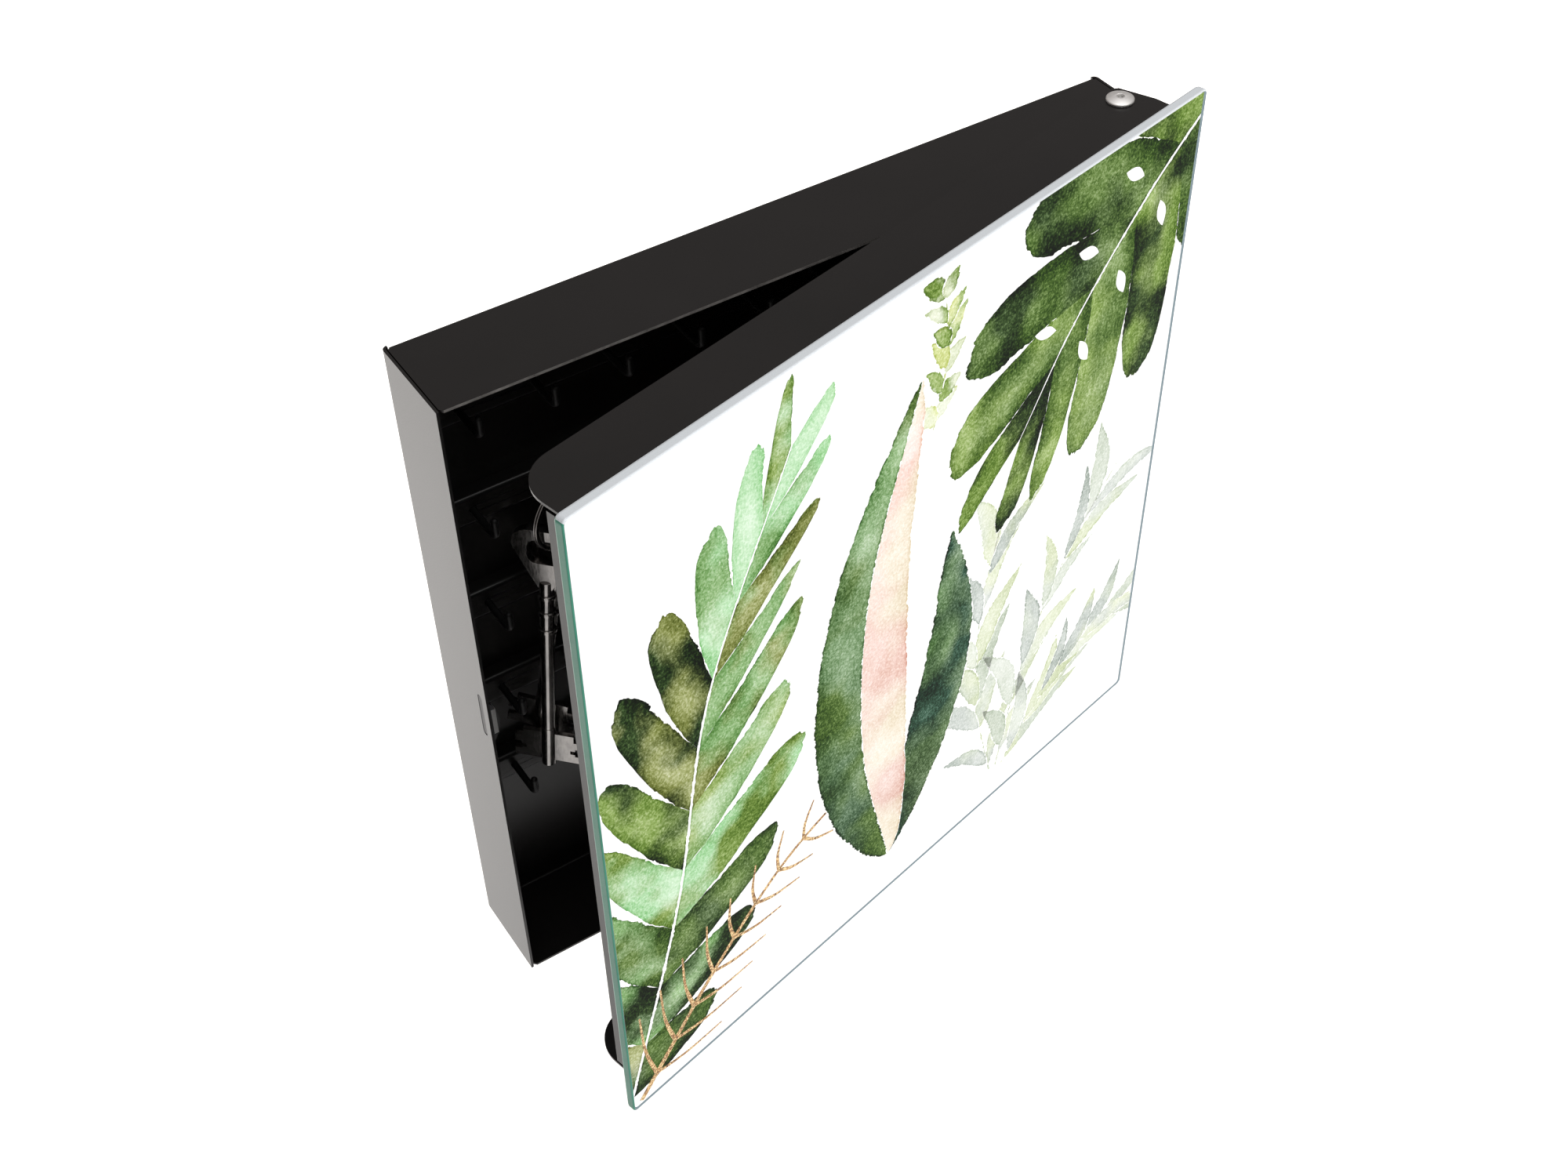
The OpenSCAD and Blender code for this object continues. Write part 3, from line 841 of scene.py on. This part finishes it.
def rounded_outline(half, radius, steps=6):
    """Corner points of a square with rounded corners, counter-clockwise from the right."""
    points = []
    for quarter in range(4):
        centre_angle = math.radians(45 + 90 * quarter)
        cx = math.copysign(half - radius, math.cos(centre_angle))
        cz = math.copysign(half - radius, math.sin(centre_angle))
        for step in range(steps + 1):
            angle = math.radians(90 * quarter + 90 * step / steps)
            points.append((cx + radius * math.cos(angle), cz + radius * math.sin(angle)))
    return points


def glass_pane():
    """The tempered pane with its ground edge; the rings run from the back to the front."""
    back, front = GLASS_ARRIS_BACK, GLASS_ARRIS_FRONT
    rings = [
        (GLASS_HALF - back, 0.0), (GLASS_HALF - 0.3 * back, 0.3 * back), (GLASS_HALF, back),
        (GLASS_HALF, GLASS_THICK - front), (GLASS_HALF - 0.3 * front, GLASS_THICK - 0.3 * front),
        (GLASS_HALF - front, GLASS_THICK),
    ]
    corner_count = len(rounded_outline(GLASS_HALF, GLASS_CORNER))
    points = []
    for half, depth in rings:
        for x, z in rounded_outline(half, GLASS_CORNER):
            points.append((x * MM, -(GLASS_BACK_Y + depth) * MM, z * MM))
    faces, kinds = [], []
    for ring in range(len(rings) - 1):
        for i in range(corner_count):
            after = (i + 1) % corner_count
            a, b = ring * corner_count, (ring + 1) * corner_count
            faces.append((a + i, b + i, b + after, a + after))
            middle_x = (points[a + i][0] + points[a + after][0]) / 2 / MM
            middle_z = (points[a + i][2] + points[a + after][2]) / 2 / MM
            # faces along the top edge take the painted sheen of a lit top
            if middle_z > NEAR_EDGE:
                kinds.append(UPPER_FACE)
            elif ring >= FRONT_CHAMFER and (middle_x > NEAR_EDGE or middle_z < -NEAR_EDGE):
                kinds.append(FRONT_FACE)
            else:
                kinds.append(SIDE_FACE)
    faces.append(tuple(range(corner_count)))
    kinds.append(REAR_FACE)
    last = (len(rings) - 1) * corner_count
    faces.append(tuple(reversed(range(last, last + corner_count))))
    kinds.append(FRONT_FACE)
    mesh = closed_mesh("glass_pane", points, faces)
    for material in (EDGE, PAINTED_TOP_SHEEN, GLASS_BACK, BARE_GLASS):
        mesh.materials.append(material)
    for face, kind in zip(mesh.polygons, kinds):
        face.material_index = kind
    pane = hang_on_door(add_object("glass_pane", mesh))
    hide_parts("glass_panel")


glass_pane()

# ------------------------------------------------------------------ small parts

def add_piece(name, mesh, material, body, slot, *replaced):
    """Links a finished mesh, smooth where its edges are shallow, and attaches it to its body."""
    mesh.materials.append(material)
    mesh.shade_smooth()
    mesh.set_sharp_from_angle(angle=math.radians(35))
    piece = add_object(name, mesh)
    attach(piece, body)
    if replaced:
        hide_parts(*replaced)


def lathe(name, profile, steps=64):
    """Mesh turned about the Y axis from (radius, y) pairs given in mm."""
    points, faces = [], []
    for radius, y in profile:
        for i in range(steps):
            angle = 2 * math.pi * i / steps
            points.append((radius * math.cos(angle) * MM, y * MM, radius * math.sin(angle) * MM))
    for ring in range(len(profile) - 1):
        for i in range(steps):
            after = (i + 1) % steps
            a, b = ring * steps, (ring + 1) * steps
            faces.append((a + i, a + after, b + after, b + i))
    faces.append(tuple(reversed(range(steps))))
    faces.append(tuple(range((len(profile) - 1) * steps, len(profile) * steps)))
    return closed_mesh(name, points, faces)


def rubber_bumpers():
    """Domed self-adhesive dots in the door's two free corners."""
    for end in ("top", "bottom"):
        low, high = closed_box(f"bumper_{end}")
        height = (high.y - low.y) / MM
        radius = (high.x - low.x) / 2 / MM
        profile = [(radius, 0.0), (radius, 0.35 * height)]
        for step in range(1, 9):
            angle = math.radians(90 * step / 8)
            across = radius * (0.45 + 0.55 * math.cos(angle))
            profile.append((across, height * (0.35 + 0.65 * math.sin(angle))))
        mesh = lathe(f"rubber_dot_{end}", profile)
        mesh.transform(Matrix.Translation(((low.x + high.x) / 2, low.y, (low.z + high.z) / 2)))
        mesh.transform(DOOR_TURN)
        add_piece(f"rubber_dot_{end}", mesh, RUBBER, "door", "clear_rubber", f"bumper_{end}")


RING_TURN = 20


def split_ring():
    """Key ring of flat spring wire wound twice round."""
    low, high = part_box("key_ring")
    centre = (low + high) / 2
    wire = 1.0
    radius = (high.z - low.z) / 2 / MM - wire
    turns, steps, sides = 2.0, 220, 12
    turn = Matrix.Translation(centre) @ Matrix.Rotation(math.radians(RING_TURN), 4, "Z")
    points, faces = [], []
    for step in range(steps + 1):
        share = step / steps
        angle = share * turns * 2 * math.pi
        slide = (smooth(np.float64((share - 0.42) / 0.16)) - 0.5) * wire
        for side in range(sides):
            around = 2 * math.pi * side / sides
            out = radius + 0.95 * wire * math.cos(around)
            along = slide + 0.48 * wire * math.sin(around)
            point = Vector((out * math.sin(angle), along, out * math.cos(angle)))
            points.append(turn @ (point * MM))
    for step in range(steps):
        for side in range(sides):
            after = (side + 1) % sides
            a, b = step * sides, (step + 1) * sides
            faces.append((a + side, a + after, b + after, b + side))
    faces.append(tuple(reversed(range(sides))))
    faces.append(tuple(range(steps * sides, (steps + 1) * sides)))
    mesh = closed_mesh("split_ring", points, faces)
    add_piece("split_ring", mesh, NICKEL, "key_bunch", "key_nickel", "key_ring")


rubber_bumpers()
split_ring()
for key in ("long_key", "short_key"):
    finish_cad(key, NICKEL, 0.25)

# ------------------------------------------------------------------ stage, light, camera

FLOOR_DROP = 0.45
STAGE_SIZE = 14.0


def stage_material():
    n = Nodes("stage_white")
    n.shade(Base_Color=rgba(0.93, 0.93, 0.93), Roughness=0.9, Specular_IOR_Level=0.0)
    return n.material


def make_floor():
    mesh = bpy.data.meshes.new("floor")
    half = STAGE_SIZE / 2
    corners = [(-half, -half, 0), (half, -half, 0), (half, half, 0), (-half, half, 0)]
    mesh.from_pydata(corners, [], [(0, 1, 2, 3)])
    mesh.materials.append(stage_material())
    floor = add_object("floor", mesh)
    floor.location.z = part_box("glass_panel")[0][2] - FLOOR_DROP


def make_world(strength):
    world = bpy.data.worlds.new("studio")
    world.use_nodes = True
    background = world.node_tree.nodes["Background"]
    background.inputs["Color"].default_value = rgba(1.0, 0.93, 0.90)
    background.inputs["Strength"].default_value = strength
    bpy.context.scene.world = world


def area_light(name, place, target, size, power, colour=(1.0, 1.0, 1.0)):
    data = bpy.data.lights.new(name, "AREA")
    data.shape = "SQUARE"
    data.color = colour
    data.size = size
    data.energy = power
    light = add_object(name, data)
    light.location = place
    light.rotation_euler = (Vector(target) - Vector(place)).to_track_quat("-Z", "Y").to_euler()


LENS_MM = 47.375
LENS_SHIFT = 0.02
CAMERA_PLACE = (-0.30703, -0.49165, 0.52804)
CAMERA_TURN_DEG = (44.7218, 0.8155, -33.1437)


def make_camera():
    data = bpy.data.cameras.new("camera")
    data.sensor_width = 36.0
    data.lens = LENS_MM
    data.shift_y = LENS_SHIFT
    camera = add_object("camera", data)
    camera.location = CAMERA_PLACE
    camera.rotation_euler = [math.radians(angle) for angle in CAMERA_TURN_DEG]
    bpy.context.scene.camera = camera


make_floor()
make_world(0.27)
area_light("floor_softbox", (0.1, 1.85, -0.2), (0.1, 1.85, -1.0), 3.2, 60, (1.0, 0.97, 0.93))
area_light("overhead_softbox", (0.3, -0.6, 2.4), (0.3, -0.6, 0), 2.4, 42)
area_light("front_softbox", (1.0, -2.3, 0.4), (0.0, 0.0, 0.0), 1.6, 46)
make_camera()
bpy.context.scene.view_settings.view_transform = "Standard"
